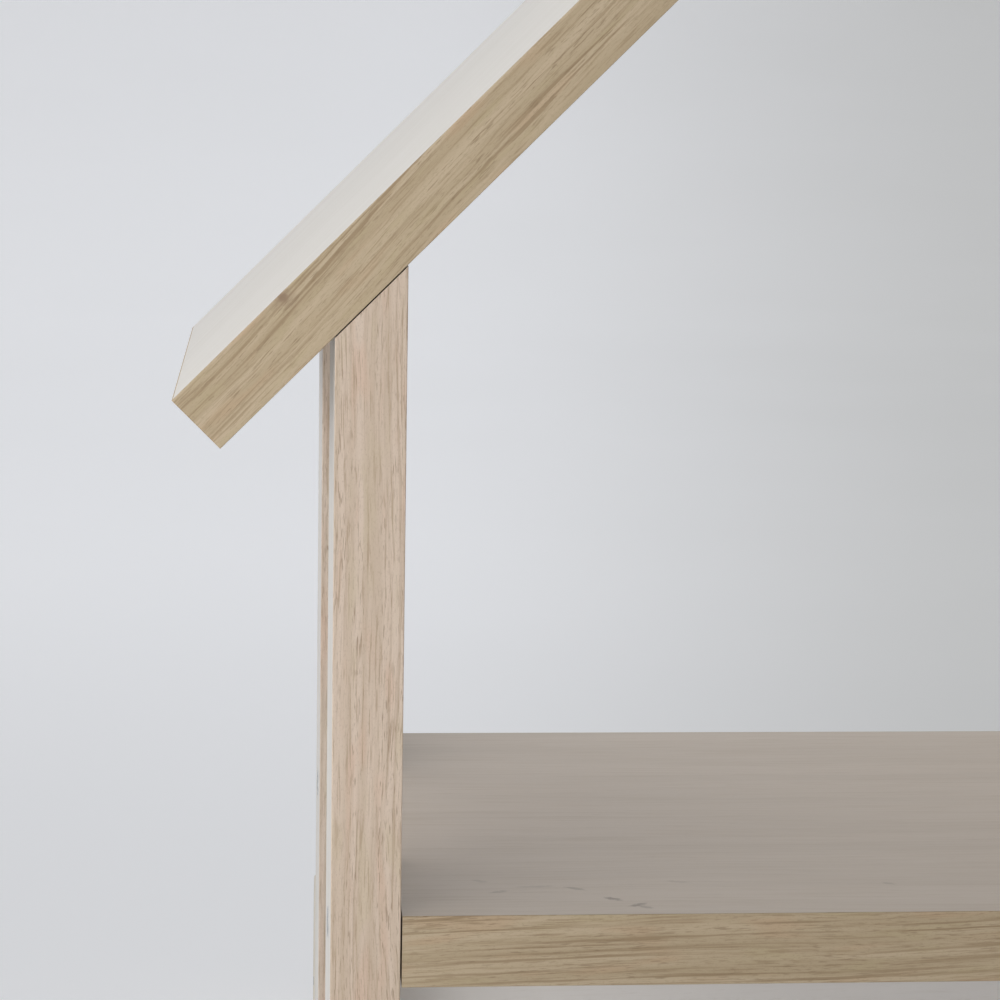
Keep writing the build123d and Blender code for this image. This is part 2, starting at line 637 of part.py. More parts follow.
with BuildPart() as pocket_screw:
    with BuildSketch(Plane.XY.offset(-POCKET_DEPTH + SCREW_HEAD_HEIGHT)):
        Circle(SCREW_HEAD_RADIUS)
    extrude(amount=-SCREW_HEAD_HEIGHT)
    with BuildSketch(Plane.XY.offset(-POCKET_DEPTH)):
        Circle(SCREW_RADIUS)
    extrude(amount=-(pocket_screw_reach - POCKET_DEPTH))
    with Locations((0, 0, SCREW_HEAD_HEIGHT - POCKET_DEPTH)):
        add(cross_recess.part, mode=Mode.SUBTRACT)

with BuildPart() as pocket_screws:
    with Locations(*sum(roof_pockets.values(), [])):
        add(pocket_screw.part)
pocket_screws.part.label = "roof_pocket_screws"
export_step(pocket_screws.part, "parts/roof_pocket_screws.step")

with BuildPart() as cleat_screw:
    add(pin(cleat_screw_stages))
    add(cross_recess.part, mode=Mode.SUBTRACT)

with BuildPart() as cleat_screws:
    with Locations(*cleat_screws_at):
        add(cleat_screw.part)
cleat_screws.part.label = "cleat_screws"
export_step(cleat_screws.part, "parts/cleat_screws.step")

with BuildPart() as glide:
    with BuildSketch(Plane.XY):
        Circle(GLIDE_RADIUS)
    extrude(amount=GLIDE_HEIGHT)
    chamfer(glide.edges().group_by(Axis.Z)[-1], GLIDE_CHAMFER)
    with BuildSketch(Plane.XY):
        Circle(GLIDE_STUD_RADIUS)
    extrude(amount=-GLIDE_STUD_LENGTH)

with BuildPart() as glides:
    with Locations(*sum([*post_glides.values(), *step_glides.values()], [])):
        add(glide.part)
glides.part.label = "floor_glides"
export_step(glides.part, "parts/floor_glides.step")

# ---- Entry steps ----
tread_fronts = {"upper": y_front - TREAD_TO_TOWER - TREAD_DEPTH}
tread_fronts["lower"] = tread_fronts["upper"] - TREAD_DEPTH + TREAD_OVERLAP
tread_tops = {"lower": step_rise, "upper": 2 * step_rise}
cross_rail_y = y_front + POST_DEPTH - CROSS_RAIL_BACK - RAIL_BOARD / 2
cross_rail_bottom = post_foot + CROSS_RAIL_LIFT

step_screw_spots = [(tread_fronts[level] + TREAD_DEPTH * share, tread_tops[level] - STEP_BOARD / 2)
                    for level in tread_fronts for share in TREAD_SCREW_SHARES]
step_screw_spots += [(cross_rail_y, cross_rail_bottom + CROSS_RAIL_HEIGHT * share)
                     for share in QUARTERS]
step_screws_at = {s: [side_plane(sides[s], post_inner, y, z) for y, z in step_screw_spots] for s in sides}

for side, sign in sides.items():
    with BuildPart() as step_side:
        with BuildSketch(Plane.YZ.offset(sign * (post_inner - STEP_BOARD / 2))) as step_outline:
            toe = y_front - step_reach
            back = y_front + POST_DEPTH
            side_top = DECK_TOP - STEP_SIDE_DROP
            Polygon((toe, post_foot), (toe, STEP_FRONT_HEIGHT), (y_front - STEP_SIDE_LEVEL, side_top),
                    (back, side_top), (back, post_foot), align=None)
            by_front = step_outline.vertices().sort_by(Axis.X)
            fillet(by_front[2], STEP_TOP_ROUND)
            toe_corners = step_outline.vertices().group_by(Axis.X)[0].sort_by(Axis.Y)
            fillet(toe_corners[-1], STEP_FRONT_ROUND)
            toe_corners = step_outline.vertices().group_by(Axis.X)[0].sort_by(Axis.Y)
            fillet(toe_corners[0], STEP_TOE_ROUND)
        extrude(amount=STEP_BOARD / 2, both=True)
        bore(step_sleeves[side], sleeve_hole)
        bore(step_bolts[side], step_bolt_hole)
        bore(step_screws_at[side], confirmat_hole)
        bore(step_glides[side], glide_hole)
    step_side.part.label = f"step_side_{side}"
    export_step(step_side.part, f"parts/step_side_{side}.step")

for level, y_tread in tread_fronts.items():
    with BuildPart() as tread:
        with BuildSketch(Plane.XY.offset(tread_tops[level] - STEP_BOARD)):
            with Locations((0, y_tread + (TREAD_DEPTH + EDGE_BAND) / 2)):
                Rectangle(2 * step_half, TREAD_DEPTH - EDGE_BAND)
        extrude(amount=STEP_BOARD)
        for side in sides:
            bore(step_screws_at[side], confirmat_hole)
    tread.part.label = f"step_tread_{level}"
    export_step(tread.part, f"parts/step_tread_{level}.step")

    with BuildPart() as tread_band:
        with BuildSketch(Plane.XY.offset(tread_tops[level] - STEP_BOARD)):
            with Locations((0, y_tread + EDGE_BAND / 2)):
                Rectangle(2 * step_half, EDGE_BAND)
        extrude(amount=STEP_BOARD)
        fillet(tread_band.edges().filter_by(Axis.X).group_by(Axis.Y)[0], EDGE_EASE)
    tread_band.part.label = f"step_tread_{level}_edge_band"
    export_step(tread_band.part, f"parts/step_tread_{level}_edge_band.step")

with BuildPart() as cross_rail:
    with BuildSketch(front_plane(cross_rail_y - RAIL_BOARD / 2)):
        with Locations((0, cross_rail_bottom + CROSS_RAIL_HEIGHT / 2)):
            Rectangle(2 * step_half, CROSS_RAIL_HEIGHT)
    extrude(amount=-RAIL_BOARD)
    for side in sides:
        bore(step_screws_at[side], confirmat_hole)
cross_rail.part.label = "step_cross_rail"
export_step(cross_rail.part, "parts/step_cross_rail.step")

with BuildPart() as step_screw:
    add(pin(confirmat_stages))
    add(hex_recess.part, mode=Mode.SUBTRACT)

with BuildPart() as step_screws:
    with Locations(*step_screws_at["left"], *step_screws_at["right"]):
        add(step_screw.part)
step_screws.part.label = "step_screws"
export_step(step_screws.part, "parts/step_screws.step")


# ---- Chute, which hangs on the cleat and lifts off ----
def chute_corners(rise):
    """Corners, in Y and Z, of a line that runs square above the bed's top face."""
    shift = rise * half_turn
    return [(chute_start, bed_top + rise), (lip_corner + shift, bed_top + rise),
            (exit_corner + shift, CHUTE_EXIT_HEIGHT + rise), (chute_end, CHUTE_EXIT_HEIGHT + rise)]


def chute_band(upper, lower):
    """Band between two lines that follow the bed, at the given rises above its top face."""
    with BuildSketch() as band:
        with BuildLine():
            for rise in (upper, lower):
                FilletPolyline(*chute_corners(rise),
                               radius=(CHUTE_TOP_RADIUS + rise, CHUTE_EXIT_RADIUS - rise))
            Line(chute_corners(upper)[0], chute_corners(lower)[0])
            Line(chute_corners(upper)[-1], chute_corners(lower)[-1])
        make_face()
    return band.sketch


def under_bed(place, depth):
    """Point in Y and Z under the sloping bed: share of the slope, and depth square to it."""
    y = lip_corner + place * slope_run + sin(radians(CHUTE_SLOPE)) * -depth
    z = bed_top - place * (bed_top - CHUTE_EXIT_HEIGHT) - cos(radians(CHUTE_SLOPE)) * depth
    return (y, z)


chute_side_below = CHUTE_EXIT_HEIGHT - PAD_HEIGHT
chute_outer = post_inner + CHUTE_SIDE_BOARD
bed_bottom = bed_top - BED_BOARD
foot_rail_y = chute_end - FOOT_RAIL_INSET
foot_rail_top = CHUTE_EXIT_HEIGHT - BED_BOARD
batten_middle = BED_BOARD + CHUTE_BATTEN_BOARD / 2
hanger_y = chute_start + CLEAT_BOARD / 2

batten_screw_reach = CHUTE_BATTEN_WIDTH * BATTEN_SCREW_SHARE
chute_screw_spots = []
for place in CHUTE_BATTEN_PLACES:
    y_mid, z_mid = under_bed(place, batten_middle)
    for reach in (-batten_screw_reach, batten_screw_reach):
        chute_screw_spots.append((y_mid + reach * cos(radians(CHUTE_SLOPE)),
                                  z_mid - reach * sin(radians(CHUTE_SLOPE))))
chute_screw_spots += [(hanger_y, bed_bottom - drop) for drop in HANGER_SCREW_DROPS]
chute_screw_spots += [(foot_rail_y, foot_rail_top - FOOT_SCREW_DROP)]
chute_screws_at = {s: [side_plane(sides[s], chute_outer, y, z) for y, z in chute_screw_spots]
                   for s in sides}

with BuildPart() as chute_bed:
    with BuildSketch(Plane.YZ):
        add(chute_band(0, -BED_BOARD))
    extrude(amount=post_inner + BED_GROOVE - GROOVE_FIT, both=True)
chute_bed.part.label = "chute_bed"
export_step(chute_bed.part, "parts/chute_bed.step")

for side, sign in sides.items():
    with BuildPart() as chute_side:
        with BuildSketch(Plane.YZ.offset(sign * (post_inner + CHUTE_SIDE_BOARD / 2))) as side_outline:
            add(chute_band(CHUTE_SIDE_ABOVE, -chute_side_below))
            ends = side_outline.vertices().group_by(Axis.X)
            fillet(ends[-1].sort_by(Axis.Y)[-1], CHUTE_END_ROUND)
            ends = side_outline.vertices().group_by(Axis.X)
            fillet(ends[0] + ends[-1].sort_by(Axis.Y)[:1], CHUTE_CORNER_ROUND)
        extrude(amount=CHUTE_SIDE_BOARD / 2, both=True)
        flat_faces = chute_side.faces().filter_by(Axis.X)
        fillet(flat_faces.edges(), CHUTE_SIDE_EASE)
        with BuildSketch(Plane.YZ.offset(sign * post_inner)):
            add(chute_band(GROOVE_FIT / 2, -BED_BOARD - GROOVE_FIT / 2))
        extrude(amount=sign * BED_GROOVE, mode=Mode.SUBTRACT)
        bore(chute_screws_at[side], chute_screw_hole)
    chute_side.part.label = f"chute_side_{side}"
    export_step(chute_side.part, f"parts/chute_side_{side}.step")

for place, name in zip(CHUTE_BATTEN_PLACES, ("upper", "middle", "lower")):
    with BuildPart() as batten:
        with BuildSketch(Plane.YZ):
            with Locations(under_bed(place, batten_middle)):
                Rectangle(CHUTE_BATTEN_WIDTH, CHUTE_BATTEN_BOARD, rotation=-CHUTE_SLOPE)
        extrude(amount=post_inner, both=True)
        for side in sides:
            bore(chute_screws_at[side], chute_screw_hole)
    batten.part.label = f"chute_batten_{name}"
    export_step(batten.part, f"parts/chute_batten_{name}.step")

# The chute's half of the bevelled cleat, under the lip of the bed
with BuildPart() as chute_hanger:
    bevel_start = cleat_line + CHUTE_CLEARANCE + CLEAT_CLEARANCE
    with BuildSketch(Plane.YZ):
        Polygon((chute_start, bevel_start), (chute_start, bed_bottom),
                (chute_start + CLEAT_BOARD, bed_bottom),
                (chute_start + CLEAT_BOARD, bevel_start + CLEAT_BOARD), align=None)
    extrude(amount=post_inner, both=True)
    for side in sides:
        bore(chute_screws_at[side], chute_screw_hole)
chute_hanger.part.label = "chute_hanger"
export_step(chute_hanger.part, "parts/chute_hanger.step")

with BuildPart() as foot_rail:
    with BuildSketch(Plane.YZ):
        with Locations((foot_rail_y, (foot_rail_top + FOOT_RAIL_LIFT) / 2)):
            Rectangle(CHUTE_BATTEN_BOARD, foot_rail_top - FOOT_RAIL_LIFT)
    extrude(amount=post_inner, both=True)
    for side in sides:
        bore(chute_screws_at[side], chute_screw_hole)
foot_rail.part.label = "chute_foot_rail"
export_step(foot_rail.part, "parts/chute_foot_rail.step")

with BuildPart() as chute_screw:
    add(pin(chute_screw_stages))
    add(hex_recess.part, mode=Mode.SUBTRACT)

with BuildPart() as chute_screws:
    with Locations(*chute_screws_at["left"], *chute_screws_at["right"]):
        add(chute_screw.part)
chute_screws.part.label = "chute_screws"
export_step(chute_screws.part, "parts/chute_screws.step")

with BuildPart() as chute_pads:
    for sign in sides.values():
        with BuildSketch(Plane.XY):
            with Locations((sign * (post_inner + CHUTE_SIDE_BOARD / 2),
                            chute_end - PAD_INSET - PAD_LENGTH / 2)):
                SlotOverall(PAD_LENGTH, PAD_WIDTH, rotation=90)
        extrude(amount=PAD_HEIGHT)
chute_pads.part.label = "chute_pads"
export_step(chute_pads.part, "parts/chute_pads.step")
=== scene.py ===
import math

import bmesh
import bpy
import numpy as np
from mathutils import Matrix, Vector


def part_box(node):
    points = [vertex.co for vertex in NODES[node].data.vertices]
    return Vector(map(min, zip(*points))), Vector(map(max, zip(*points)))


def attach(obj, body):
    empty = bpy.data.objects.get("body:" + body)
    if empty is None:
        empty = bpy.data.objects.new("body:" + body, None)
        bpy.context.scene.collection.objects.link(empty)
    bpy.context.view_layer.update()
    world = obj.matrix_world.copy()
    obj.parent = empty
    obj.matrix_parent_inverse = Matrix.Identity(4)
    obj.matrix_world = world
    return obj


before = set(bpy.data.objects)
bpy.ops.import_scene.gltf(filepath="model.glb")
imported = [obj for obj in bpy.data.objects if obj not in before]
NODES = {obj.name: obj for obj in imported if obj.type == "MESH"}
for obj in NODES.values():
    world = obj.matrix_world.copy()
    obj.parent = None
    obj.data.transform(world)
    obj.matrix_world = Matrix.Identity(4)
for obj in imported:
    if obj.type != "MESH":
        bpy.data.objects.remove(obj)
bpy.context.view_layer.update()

bl_info = {
    "name": "House-Shaped Toddler Slide",
    "version": (1, 0, 0),
    "blender": (4, 5, 0),
    "location": "3D View > Sidebar > Slide",
    "description": "Finishes, fittings and studio for a house-shaped indoor toddler slide",
    "category": "Object",
}

MM = 0.001
TOWER, CHUTE = "tower", "chute"

# ---- Places read from the frame ----
POST_LOW, POST_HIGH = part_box("post_front_left")
FRONT_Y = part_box("post_front_left_edge_band")[0].y
DECK_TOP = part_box("deck_board")[1].z
INNER_CORNER = Vector((POST_HIGH.x, FRONT_Y, DECK_TOP))

# ---- Directions and slopes ----
ALONG_X, ALONG_Y, ALONG_Z = (1, 0, 0), (0, 1, 0), (0, 0, 1)
ROOF_SLOPE = math.radians(45)
CHUTE_SLOPE = math.radians(31)
GRAIN_DRIFT = 0.03  # how far the oak grain runs off the band's own direction

# ---- Sizes of details, in metres ----
PLY = 2.8 * MM
KNOT = INNER_CORNER + Vector((-0.062, 0, 0.317))
HEX_SOCKET, CROSS_SOCKET, HEAD_RISE = 3.15 * MM, 2.75 * MM, 0.55 * MM
HEAD_MARGIN = 0.15 * MM
RIM_STEPS, BEAD_STEPS = 40, 14
SAME_POINT = 0.01 * MM

# ---- Ticks in the deck's laminate: right and back of the inner corner and half length in
# millimetres, strength, turn in degrees ----
TICKS = ((45, 62, 6, 0.3, 35), (54, 42, 7, 0.45, -20), (74, 51, 14, 0.3, -4),
         (95, 47, 8, 0.6, 30), (113, 28, 7, 0.95, 32), (125, 17, 7, 0.9, -30),
         (128, 13, 6, 0.6, 35), (152, 58, 9, 0.25, 15), (266, 52, 5, 0.4, 30))
TICK_HALF_WIDTH, TICK_DEPTH = 2.6, 9

# ---- Stage ----
FLAT_FLOOR, FLOOR_REACH, FLOOR_RISE = 9.0, 26.0, 9.0
SWEEP_STEPS, TURN_STEPS = 24, 96
SEAM_GAP = 1e-4
# Painted shade: grey laid over the floor in front of the camera, fading out by 5.8 m from its
# foot.
PAINTED_SHADE_GREY = (0.40, 0.40, 0.40, 1)
EVEN_SHADE = 0.35  # share of the far side's paint where the floor is evenly painted
# Painted glow: how much more the far sweep of the backdrop glows than its near floor.
FAR_GLOW = 1.22
WINDOW_OFFSET = Vector((-0.95, -0.75, 0.22))
WINDOW_AIM = 0.1  # above the deck
WINDOW_SIZE = 1.4
WINDOW_BEAM = math.radians(130)
WINDOW_TONE = (1.0, 0.99, 0.97)
SKY_TONE = (0.97, 0.985, 1.0, 1)
SENSOR_WIDTH = 36.0
SIGHT_LIMIT = 100.0

# ---- Sockets of the colour Mix node ----
MIX_FACTOR, MIX_A, MIX_B, MIX_RESULT = 0, 6, 7, 2


# ---- Node tree helpers ----
def link(tree, value, socket):
    """Wire an output socket into an input socket, or set a plain value on it."""
    if isinstance(value, bpy.types.NodeSocket):
        tree.links.new(value, socket)
    elif value is not None:
        socket.default_value = value


def node(tree, kind, *values, **settings):
    """Add a node, set its properties and feed its inputs in order (None skips one)."""
    made = tree.nodes.new(kind)
    for name, setting in settings.items():
        setattr(made, name, setting)
    for socket, value in zip(made.inputs, values):
        link(tree, value, socket)
    return made


def vector_math(tree, operation, a, b=None):
    """One vector operation."""
    return node(tree, "ShaderNodeVectorMath", a, b, operation=operation).outputs["Vector"]


def math_node(tree, operation, a, b=None, clamp=False):
    """One number operation."""
    return node(tree, "ShaderNodeMath", a, b, operation=operation, use_clamp=clamp).outputs[0]


def mix_colour(tree, factor, a, b):
    """Blend two colours by a factor."""
    made = tree.nodes.new("ShaderNodeMix")
    made.data_type = "RGBA"
    link(tree, factor, made.inputs[MIX_FACTOR])
    link(tree, a, made.inputs[MIX_A])
    link(tree, b, made.inputs[MIX_B])
    return made.outputs[MIX_RESULT]


def spread(tree, value, low, high, to_low=0.0, to_high=1.0):
    """Smoothly stretch part of a value's range."""
    made = node(tree, "ShaderNodeMapRange", value, low, high, to_low, to_high,
                interpolation_type="SMOOTHSTEP")
    return made.outputs[0]


def noise(tree, vector, size, detail=2.0, roughness=0.5):
    """Noise whose features are about `size` millimetres along each axis of the grain."""
    scaled = vector_math(tree, "MULTIPLY", vector, tuple(1 / (MM * s) for s in size))
    made = node(tree, "ShaderNodeTexNoise", scaled)
    made.inputs["Scale"].default_value = 1.0
    made.inputs["Detail"].default_value = detail
    made.inputs["Roughness"].default_value = roughness
    return made


def nudge(tree, vector, size, detail, reach_mm):
    """Shift coordinates to either side by noise of a given feature size."""
    wave = noise(tree, vector, size, detail)
    centred = vector_math(tree, "SUBTRACT", wave.outputs["Color"], (0.5, 0.5, 0.5))
    shift = vector_math(tree, "MULTIPLY", centred, tuple(reach * MM for reach in reach_mm))
    return vector_math(tree, "ADD", vector, shift)


def length_of(tree, vector):
    """Length of a vector."""
    return node(tree, "ShaderNodeVectorMath", vector, operation="LENGTH").outputs["Value"]


def lay(tree, colour, over, mask, strength=1.0):
    """Lay a colour over another through a mask of a given strength."""
    if strength != 1.0:
        mask = math_node(tree, "MULTIPLY", mask, strength)
    return mix_colour(tree, mask, colour, over)


def new_material(name):
    """Empty node material with a Principled shader on its output."""
    material = bpy.data.materials.new(name)
    material.use_nodes = True
    tree = material.node_tree
    tree.nodes.clear()
    shader = tree.nodes.new("ShaderNodeBsdfPrincipled")
    output = tree.nodes.new("ShaderNodeOutputMaterial")
    tree.links.new(shader.outputs[0], output.inputs[0])
    return material, tree, shader


def grain_space(tree, direction, offset, wander):
    """Object coordinates turned so that local Z runs along the grain, gently wandering."""
    turn = Vector(direction).rotation_difference(Vector(ALONG_Z)).to_euler()
    place = tree.nodes.new("ShaderNodeTexCoord").outputs["Object"]
    mapping = node(tree, "ShaderNodeMapping", place, offset, tuple(turn))
    return nudge(tree, mapping.outputs[0], (60, 60, 220), 1.0, (wander, wander, 0))


def add_bump(tree, shader, height, depth_mm, strength=1.0):
    """Relief of a given depth in millimetres."""
    bump = node(tree, "ShaderNodeBump", strength, depth_mm * MM)
    link(tree, height, bump.inputs["Height"])
    tree.links.new(bump.outputs[0], shader.inputs["Normal"])


def shade_of(tone, red, green, blue):
    """A tone with each channel scaled."""
    return (min(tone[0] * red, 1), min(tone[1] * green, 1), min(tone[2] * blue, 1), 1)


def ripple(tree, grain, reach_mm):
    """Add a finer wave to the grain, across its run."""
    return nudge(tree, grain, (14, 14, 42), 1.0, (reach_mm, reach_mm, 0))


def oak_band(name, tone, direction, offset=(0, 0, 0), lines=1.0, fibres=1.0, knot=None):
    """Oak-grain edge band: long growth lines, short fibres and pores, rosy and khaki flushes."""
    material, tree, shader = new_material(name)
    grain = ripple(tree, grain_space(tree, direction, offset, 9.0), 1.6)
    broad = noise(tree, grain, (6, 6, 280), 2.0).outputs[0]
    long_lines = noise(tree, grain, (1.9, 1.9, 150), 1.5, 0.55).outputs[0]
    groups = noise(tree, grain, (9, 9, 190), 1.0).outputs[0]
    strands = noise(tree, grain, (1.0, 1.0, 30), 2.0, 0.6).outputs[0]
    pores = noise(tree, grain, (0.62, 0.62, 8), 1.0).outputs[0]
    flush = noise(tree, grain, (9, 9, 50), 1.0).outputs[0]
    speckle = noise(tree, grain, (0.45, 0.45, 1.6), 1.0).outputs[0]
    light = shade_of(tone, 1.12, 1.13, 1.15)
    brown = shade_of(tone, 0.70, 0.64, 0.56)
    deep = shade_of(tone, 0.50, 0.43, 0.36)
    quiet = shade_of(tone, 0.97, 0.96, 0.93)
    colour = mix_colour(tree, spread(tree, broad, 0.36, 0.64), light, quiet)
    rosy_mask = spread(tree, flush, 0.54, 0.72, 0, 0.50)
    colour = mix_colour(tree, rosy_mask, colour, shade_of(tone, 1.07, 0.95, 0.90))
    khaki_mask = spread(tree, flush, 0.46, 0.30, 0, 0.45)
    colour = mix_colour(tree, khaki_mask, colour, shade_of(tone, 0.98, 1.01, 0.90))
    room = spread(tree, groups, 0.34, 0.60, 0.30, 1.0)
    line_mask = spread(tree, long_lines, 0.53, 0.67, 0, 0.88 * lines)
    line_mask = math_node(tree, "MULTIPLY", line_mask, room)
    colour = mix_colour(tree, line_mask, colour, brown)
    strand_mask = spread(tree, strands, 0.52, 0.70, 0, 0.62 * fibres)
    colour = mix_colour(tree, strand_mask, colour, brown)
    pore_mask = spread(tree, pores, 0.58, 0.72, 0, 0.55 * fibres)
    pore_mask = math_node(tree, "MULTIPLY", pore_mask, room)
    colour = mix_colour(tree, pore_mask, colour, deep)
    colour = mix_colour(tree, spread(tree, speckle, 0.55, 0.72, 0, 0.20), colour, deep)
    if knot:
        colour = pin_knot(tree, colour, shade_of(tone, 0.60, 0.52, 0.50), knot)
    tree.links.new(colour, shader.inputs["Base Color"])
    tree.links.new(spread(tree, strands, 0.3, 0.8, 0.48, 0.66), shader.inputs["Roughness"])
    relief = math_node(tree, "SUBTRACT", 1.0, math_node(tree, "MAXIMUM", pore_mask, line_mask))
    add_bump(tree, shader, relief, 0.09, 0.7)
    shader.inputs["Specular IOR Level"].default_value = 0.3
    return material


def spot_mask(tree, centre, size, ragged_mm, turn=0.0):
    """Ragged elliptical spot in object space, turned about Z: 1 in its middle and 0 outside."""
    place = tree.nodes.new("ShaderNodeTexCoord").outputs["Object"]
    ragged = nudge(tree, place, (2.5, 1.5, 2.5), 2.0, (ragged_mm,) * 3)
    offset = vector_math(tree, "SUBTRACT", ragged, tuple(centre))
    turned = node(tree, "ShaderNodeMapping", offset, (0, 0, 0), (0, 0, turn)).outputs[0]
    scaled = vector_math(tree, "MULTIPLY", turned, tuple(1 / (MM * half) for half in size))
    return spread(tree, length_of(tree, scaled), 1.0, 0.35)


def pin_knot(tree, colour, dark, centre):
    """Small grey-brown pin knot with a soft halo."""
    halo = spot_mask(tree, centre, (9, 12, 7), 6)
    colour = lay(tree, colour, dark, halo, 0.35)
    heart = spot_mask(tree, centre, (3.4, 12, 3.0), 2)
    return lay(tree, colour, dark, heart, 0.9)


def mineral_ticks(tree, colour, dark):
    """A short row of slanting dark ticks in the deck's laminate, near its front left corner."""
    for right, back, half_length, strength, turn in TICKS:
        centre = INNER_CORNER + Vector((right, back, 0)) * MM
        size = (half_length, TICK_HALF_WIDTH, TICK_DEPTH)
        mask = spot_mask(tree, centre, size, 4, math.radians(turn))
        colour = lay(tree, colour, dark, mask, strength)
    return colour


def ply_edges(tree, colour, tone, facing_axis, edge_low, edge_high, layer_axis):
    """Thin plies on the sawn edges that face along one axis, stacked along another."""
    coordinates = tree.nodes.new("ShaderNodeTexCoord")
    normal = node(tree, "ShaderNodeSeparateXYZ", coordinates.outputs["Normal"])
    flatness = math_node(tree, "ABSOLUTE", normal.outputs[facing_axis])
    on_edge = spread(tree, flatness, edge_low, edge_high)
    place = node(tree, "ShaderNodeSeparateXYZ", coordinates.outputs["Object"])
    layers = math_node(tree, "DIVIDE", place.outputs[layer_axis], PLY)
    layer = math_node(tree, "FRACT", layers)
    rise, fall = spread(tree, layer, 0.44, 0.56), spread(tree, layer, 1.0, 0.9)
    dark_ply = math_node(tree, "MULTIPLY", rise, fall)
    mask = math_node(tree, "MULTIPLY", dark_ply, on_edge)
    return lay(tree, colour, shade_of(tone, 0.62, 0.52, 0.42), mask, 0.75)


def pale_laminate(name, tone, direction, offset=(0, 0, 0), streaks=1.0, sheen=0.5,
                  roughness=0.42, ticks=False, plies=None):
    """Whitewashed laminate face: faint lengthwise grain, and mineral ticks where asked."""
    material, tree, shader = new_material(name)
    grain = ripple(tree, grain_space(tree, direction, offset, 14.0), 1.2)
    broad = noise(tree, grain, (22, 22, 420), 2.0).outputs[0]
    fine = noise(tree, grain, (2.4, 2.4, 75), 3.0, 0.6).outputs[0]
    pores = noise(tree, grain, (0.8, 0.8, 11), 1.0).outputs[0]
    dark = shade_of(tone, 0.88, 0.865, 0.84)
    deep = shade_of(tone, 0.50, 0.46, 0.42)
    colour = mix_colour(tree, spread(tree, broad, 0.35, 0.68, 0, 0.5 * streaks), tone, dark)
    colour = mix_colour(tree, spread(tree, fine, 0.50, 0.75, 0, 0.5 * streaks), colour, dark)
    colour = mix_colour(tree, spread(tree, pores, 0.62, 0.76, 0, 0.14 * streaks), colour, deep)
    if ticks:
        colour = mineral_ticks(tree, colour, deep)
    if plies:
        colour = ply_edges(tree, colour, tone, *plies)
    tree.links.new(colour, shader.inputs["Base Color"])
    rough = spread(tree, fine, 0.3, 0.8, roughness, roughness + 0.12)
    tree.links.new(rough, shader.inputs["Roughness"])
    add_bump(tree, shader, fine, 0.04, 0.5)
    shader.inputs["Specular IOR Level"].default_value = sheen
    return material


def plain_wood(name, tone, direction, offset=(0, 0, 0)):
    """Oiled beech: even tone, fine rays and short flecks."""
    material, tree, shader = new_material(name)
    grain = grain_space(tree, direction, offset, 6.0)
    broad = noise(tree, grain, (9, 9, 240), 2.0)
    fine = noise(tree, grain, (0.9, 0.9, 40), 2.0)
    rays = noise(tree, grain, (0.6, 1.4, 2.6), 0.0)
    dark = shade_of(tone, 0.78, 0.72, 0.66)
    deep = shade_of(tone, 0.58, 0.48, 0.42)
    colour = mix_colour(tree, spread(tree, broad.outputs[0], 0.35, 0.7, 0, 0.8), tone, dark)
    colour = mix_colour(tree, spread(tree, fine.outputs[0], 0.52, 0.78, 0, 0.45), colour, dark)
    ray_mask = spread(tree, rays.outputs[0], 0.62, 0.72, 0, 0.45)
    colour = mix_colour(tree, ray_mask, colour, deep)
    tree.links.new(colour, shader.inputs["Base Color"])
    tree.links.new(spread(tree, fine.outputs[0], 0.3, 0.8, 0.36, 0.52), shader.inputs["Roughness"])
    add_bump(tree, shader, ray_mask, -0.03, 0.5)
    shader.inputs["Specular IOR Level"].default_value = 0.45
    return material


def plated_metal(name, tone, roughness):
    """Zinc-plated steel or cast zinc: fine turning marks and a cloudy tone."""
    material, tree, shader = new_material(name)
    place = tree.nodes.new("ShaderNodeTexCoord").outputs["Object"]
    cloud = noise(tree, place, (4, 4, 4), 3.0)
    grit = noise(tree, place, (0.35, 0.35, 0.35), 2.0)
    dark = shade_of(tone, 0.72, 0.72, 0.72)
    colour = mix_colour(tree, spread(tree, cloud.outputs[0], 0.35, 0.7), tone, dark)
    tree.links.new(colour, shader.inputs["Base Color"])
    rough = spread(tree, grit.outputs[0], 0.3, 0.7, roughness - 0.08, roughness + 0.12)
    tree.links.new(rough, shader.inputs["Roughness"])
    add_bump(tree, shader, grit.outputs[0], 0.03, 0.4)
    shader.inputs["Metallic"].default_value = 1.0
    return material


def moulded(name, tone, roughness, grit_mm, depth_mm):
    """Moulded plastic or rubber with a fine spark-eroded texture."""
    material, tree, shader = new_material(name)
    place = tree.nodes.new("ShaderNodeTexCoord").outputs["Object"]
    grit = noise(tree, place, (grit_mm,) * 3, 2.0)
    scuff = noise(tree, place, (9, 9, 9), 4.0)
    dark = shade_of(tone, 0.85, 0.85, 0.85)
    colour = mix_colour(tree, spread(tree, scuff.outputs[0], 0.4, 0.7), tone, dark)
    tree.links.new(colour, shader.inputs["Base Color"])
    rough = spread(tree, scuff.outputs[0], 0.3, 0.7, roughness - 0.06, roughness + 0.1)
    tree.links.new(rough, shader.inputs["Roughness"])
    add_bump(tree, shader, grit.outputs[0], depth_mm, 0.6)
    return material


# ---- Mesh helpers ----
def finish_node(name, material):
    """Give a CAD node its finish."""
    mesh = NODES[name].data
    mesh.materials.clear()
    mesh.materials.append(material)


def islands(name):
    """The separate solids of a CAD node, each as an array of points."""
    work = bmesh.new()
    work.from_mesh(NODES[name].data)
    bmesh.ops.remove_doubles(work, verts=work.verts, dist=SAME_POINT)
    work.verts.ensure_lookup_table()
    seen, found = set(), []
    for start in work.verts:
        if start in seen:
            continue
        group, queue = [], [start]
        seen.add(start)
        while queue:
            vertex = queue.pop()
            group.append(tuple(vertex.co))
            for edge in vertex.link_edges:
                other = edge.other_vert(vertex)
                if other not in seen:
                    seen.add(other)
                    queue.append(other)
        found.append(np.array(group))
    work.free()
    return found


